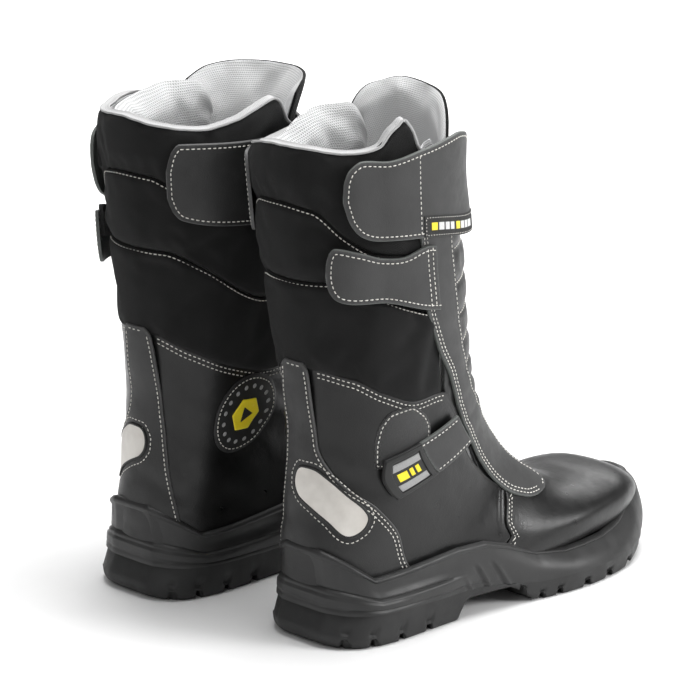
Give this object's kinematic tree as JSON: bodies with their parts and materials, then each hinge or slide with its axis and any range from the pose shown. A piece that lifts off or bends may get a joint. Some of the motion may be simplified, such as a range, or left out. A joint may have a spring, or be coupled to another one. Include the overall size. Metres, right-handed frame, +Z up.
{
  "type": "fire boots",
  "caption": "Pair of high leather and textile fire boots with wrap straps, padded tongue, ribbed shin guard and cleated cup soles.",
  "frame": {"origin": "middle of the pair's footprint, on the floor", "axes": "+Z up, +Y from heel to toe, +X towards the right boot"},
  "size_m": [0.273, 0.3532, 0.3567],
  "materials": {
    "tread_rubber": "matt moulded",
    "sole_foam": "satin moulded",
    "shank_steel": "cold rolled",
    "plate_textile": "woven puncture-resistant layers",
    "board": "non-woven",
    "footbed_textile": "felted",
    "cap_shell": "composite",
    "stiffener": "thermoformed",
    "leather": "smooth, satin",
    "overlay_leather": "smooth, satin",
    "guard_leather": "soft, satin",
    "strap_leather": "smooth, satin",
    "reflective_textile": "retro-reflective",
    "badge_rubber": "moulded relief",
    "shaft_textile": "matt, padded",
    "mesh_lining": "spacer mesh",
    "loop_textile": "loop pile",
    "label_textile": "woven",
    "tab_rubber": "moulded"
  },
  "bodies": {
    "right_boot": {"right_outsole": "tread_rubber", "right_midsole": "sole_foam", "right_shank": "shank_steel", "right_penetration_plate": "plate_textile", "right_insole_board": "board", "right_footbed": "footbed_textile", "right_toe_cap": "cap_shell", "right_heel_stiffener": "stiffener", "right_vamp": "leather", "right_quarter_lateral": "leather", "right_quarter_medial": "leather", "right_backstay": "overlay_leather", "right_reflector": "reflective_textile", "right_medial_badge": "badge_rubber", "right_shaft_lower_band": "shaft_textile", "right_shaft_middle_band": "shaft_textile", "right_shaft_upper_band": "shaft_textile", "right_lining": "mesh_lining", "right_collar_pad": "mesh_lining", "right_tongue": "mesh_lining", "right_shin_guard": "guard_leather", "right_placket": "overlay_leather", "right_loop_pads": "loop_textile", "right_top_strap_base": "overlay_leather"},
    "right_top_strap_front": {"right_top_strap": "strap_leather", "right_top_strap_label": "label_textile"},
    "right_top_strap_end": {"right_top_strap_tip": "strap_leather"},
    "right_mid_strap_end": {"right_mid_strap": "strap_leather"},
    "right_ankle_strap_end": {"right_ankle_strap": "strap_leather", "right_ankle_strap_tab": "tab_rubber"},
    "left_boot": {"left_outsole": "tread_rubber", "left_midsole": "sole_foam", "left_shank": "shank_steel", "left_penetration_plate": "plate_textile", "left_insole_board": "board", "left_footbed": "footbed_textile", "left_toe_cap": "cap_shell", "left_heel_stiffener": "stiffener", "left_vamp": "leather", "left_quarter_lateral": "leather", "left_quarter_medial": "leather", "left_backstay": "overlay_leather", "left_reflector": "reflective_textile", "left_medial_badge": "badge_rubber", "left_shaft_lower_band": "shaft_textile", "left_shaft_middle_band": "shaft_textile", "left_shaft_upper_band": "shaft_textile", "left_lining": "mesh_lining", "left_collar_pad": "mesh_lining", "left_tongue": "mesh_lining", "left_shin_guard": "guard_leather", "left_placket": "overlay_leather", "left_loop_pads": "loop_textile", "left_top_strap_base": "overlay_leather"},
    "left_top_strap_front": {"left_top_strap": "strap_leather", "left_top_strap_label": "label_textile"},
    "left_top_strap_end": {"left_top_strap_tip": "strap_leather"},
    "left_mid_strap_end": {"left_mid_strap": "strap_leather"},
    "left_ankle_strap_end": {"left_ankle_strap": "strap_leather", "left_ankle_strap_tab": "tab_rubber"}
  },
  "joints": [
    {"name": "left_boot_lift", "type": "slide", "parent": "right_boot", "child": "left_boot", "axis": [0, 0, 1], "range_m": [0, 0.3]},
    {"name": "right_top_strap_swing", "type": "hinge", "parent": "right_boot", "child": "right_top_strap_front", "pos_m": [0.03261, -0.01756, 0.28715], "axis": [-0.0473, -0.0311, 0.9984], "range_deg": [0, 100]},
    {"name": "right_top_strap_peel", "type": "hinge", "parent": "right_top_strap_front", "child": "right_top_strap_end", "pos_m": [0.12478, -0.0874, 0.30085], "axis": [0.0145, -0.053, 0.9985], "range_deg": [0, 60]},
    {"name": "right_mid_strap_peel", "type": "hinge", "parent": "right_boot", "child": "right_mid_strap_end", "pos_m": [0.12315, -0.07135, 0.24243], "axis": [-0.0016, -0.1037, 0.9946], "range_deg": [0, 110]},
    {"name": "right_ankle_strap_peel", "type": "hinge", "parent": "right_boot", "child": "right_ankle_strap_end", "pos_m": [0.11526, -0.03727, 0.13154], "axis": [0.1346, -0.6, 0.7886], "range_deg": [0, 100]},
    {"name": "left_top_strap_swing", "type": "hinge", "parent": "left_boot", "child": "left_top_strap_front", "pos_m": [-0.03261, -0.03556, 0.28715], "axis": [-0.0473, 0.0311, -0.9984], "range_deg": [0, 100]},
    {"name": "left_top_strap_peel", "type": "hinge", "parent": "left_top_strap_front", "child": "left_top_strap_end", "pos_m": [-0.12478, -0.1054, 0.30085], "axis": [0.0145, 0.053, -0.9985], "range_deg": [0, 60]},
    {"name": "left_mid_strap_peel", "type": "hinge", "parent": "left_boot", "child": "left_mid_strap_end", "pos_m": [-0.12315, -0.08935, 0.24243], "axis": [-0.0016, 0.1037, -0.9946], "range_deg": [0, 110]},
    {"name": "left_ankle_strap_peel", "type": "hinge", "parent": "left_boot", "child": "left_ankle_strap_end", "pos_m": [-0.11526, -0.05527, 0.13154], "axis": [0.1346, 0.6, -0.7886], "range_deg": [0, 100]}
  ],
  "couplings": [
    {"joint": "right_top_strap_peel", "follows": "right_top_strap_swing", "ratio": 0.6},
    {"joint": "left_top_strap_peel", "follows": "left_top_strap_swing", "ratio": 0.6}
  ]
}
